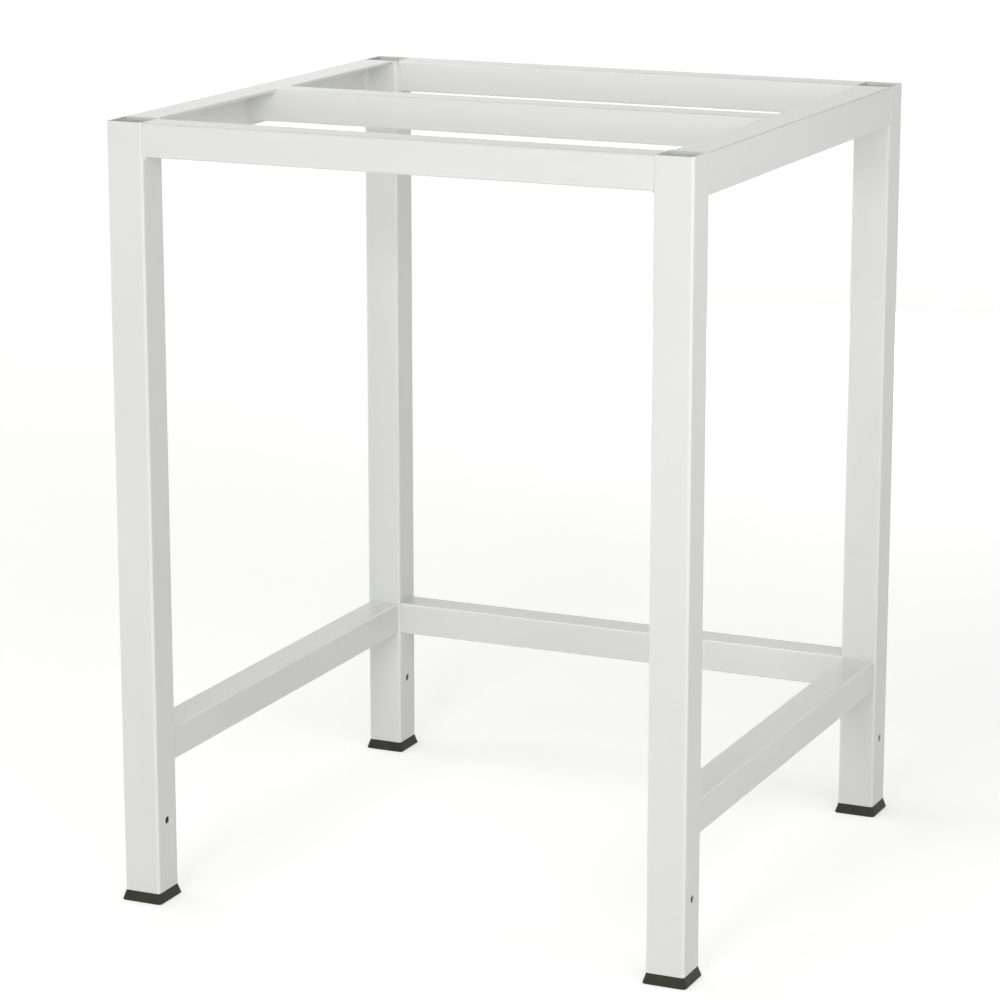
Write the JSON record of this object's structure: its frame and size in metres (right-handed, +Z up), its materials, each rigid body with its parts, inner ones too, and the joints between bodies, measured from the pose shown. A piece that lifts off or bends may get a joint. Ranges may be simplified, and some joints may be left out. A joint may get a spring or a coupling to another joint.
{
  "type": "work table frame",
  "caption": "Welded steel work table frame: square tube legs and rails, steel angle side rails with screw holes for a worktop, open front, and moulded glides under the legs.",
  "frame": {"origin": "on the floor, under the middle of the frame", "axes": "+Z up, +X to the right and +Y to the back, for someone facing the open front"},
  "size_m": [0.6964, 0.6864, 0.9],
  "materials": {
    "powder_coat": "semi-gloss off-white powder coat",
    "glide_plastic": "satin black moulded plastic"
  },
  "bodies": {
    "root": {"leg_front_left": "powder_coat", "leg_front_right": "powder_coat", "leg_back_left": "powder_coat", "leg_back_right": "powder_coat", "glide_front_left": "glide_plastic", "glide_front_right": "glide_plastic", "glide_back_left": "glide_plastic", "glide_back_right": "glide_plastic", "side_rail_left": "powder_coat", "side_rail_right": "powder_coat", "front_rail": "powder_coat", "middle_rail": "powder_coat", "back_rail": "powder_coat", "lower_rail_left": "powder_coat", "lower_rail_right": "powder_coat", "lower_rail_back": "powder_coat", "weld_front_rail_left": "powder_coat", "weld_front_rail_right": "powder_coat", "weld_middle_rail_left": "powder_coat", "weld_middle_rail_right": "powder_coat", "weld_back_rail_left": "powder_coat", "weld_back_rail_right": "powder_coat", "weld_side_rail_left_front": "powder_coat", "weld_side_rail_left_back": "powder_coat", "weld_side_rail_right_front": "powder_coat", "weld_side_rail_right_back": "powder_coat", "weld_lower_rail_left_front": "powder_coat", "weld_lower_rail_left_back": "powder_coat", "weld_lower_rail_right_front": "powder_coat", "weld_lower_rail_right_back": "powder_coat", "weld_lower_rail_back_left": "powder_coat", "weld_lower_rail_back_right": "powder_coat"}
  },
  "joints": []
}
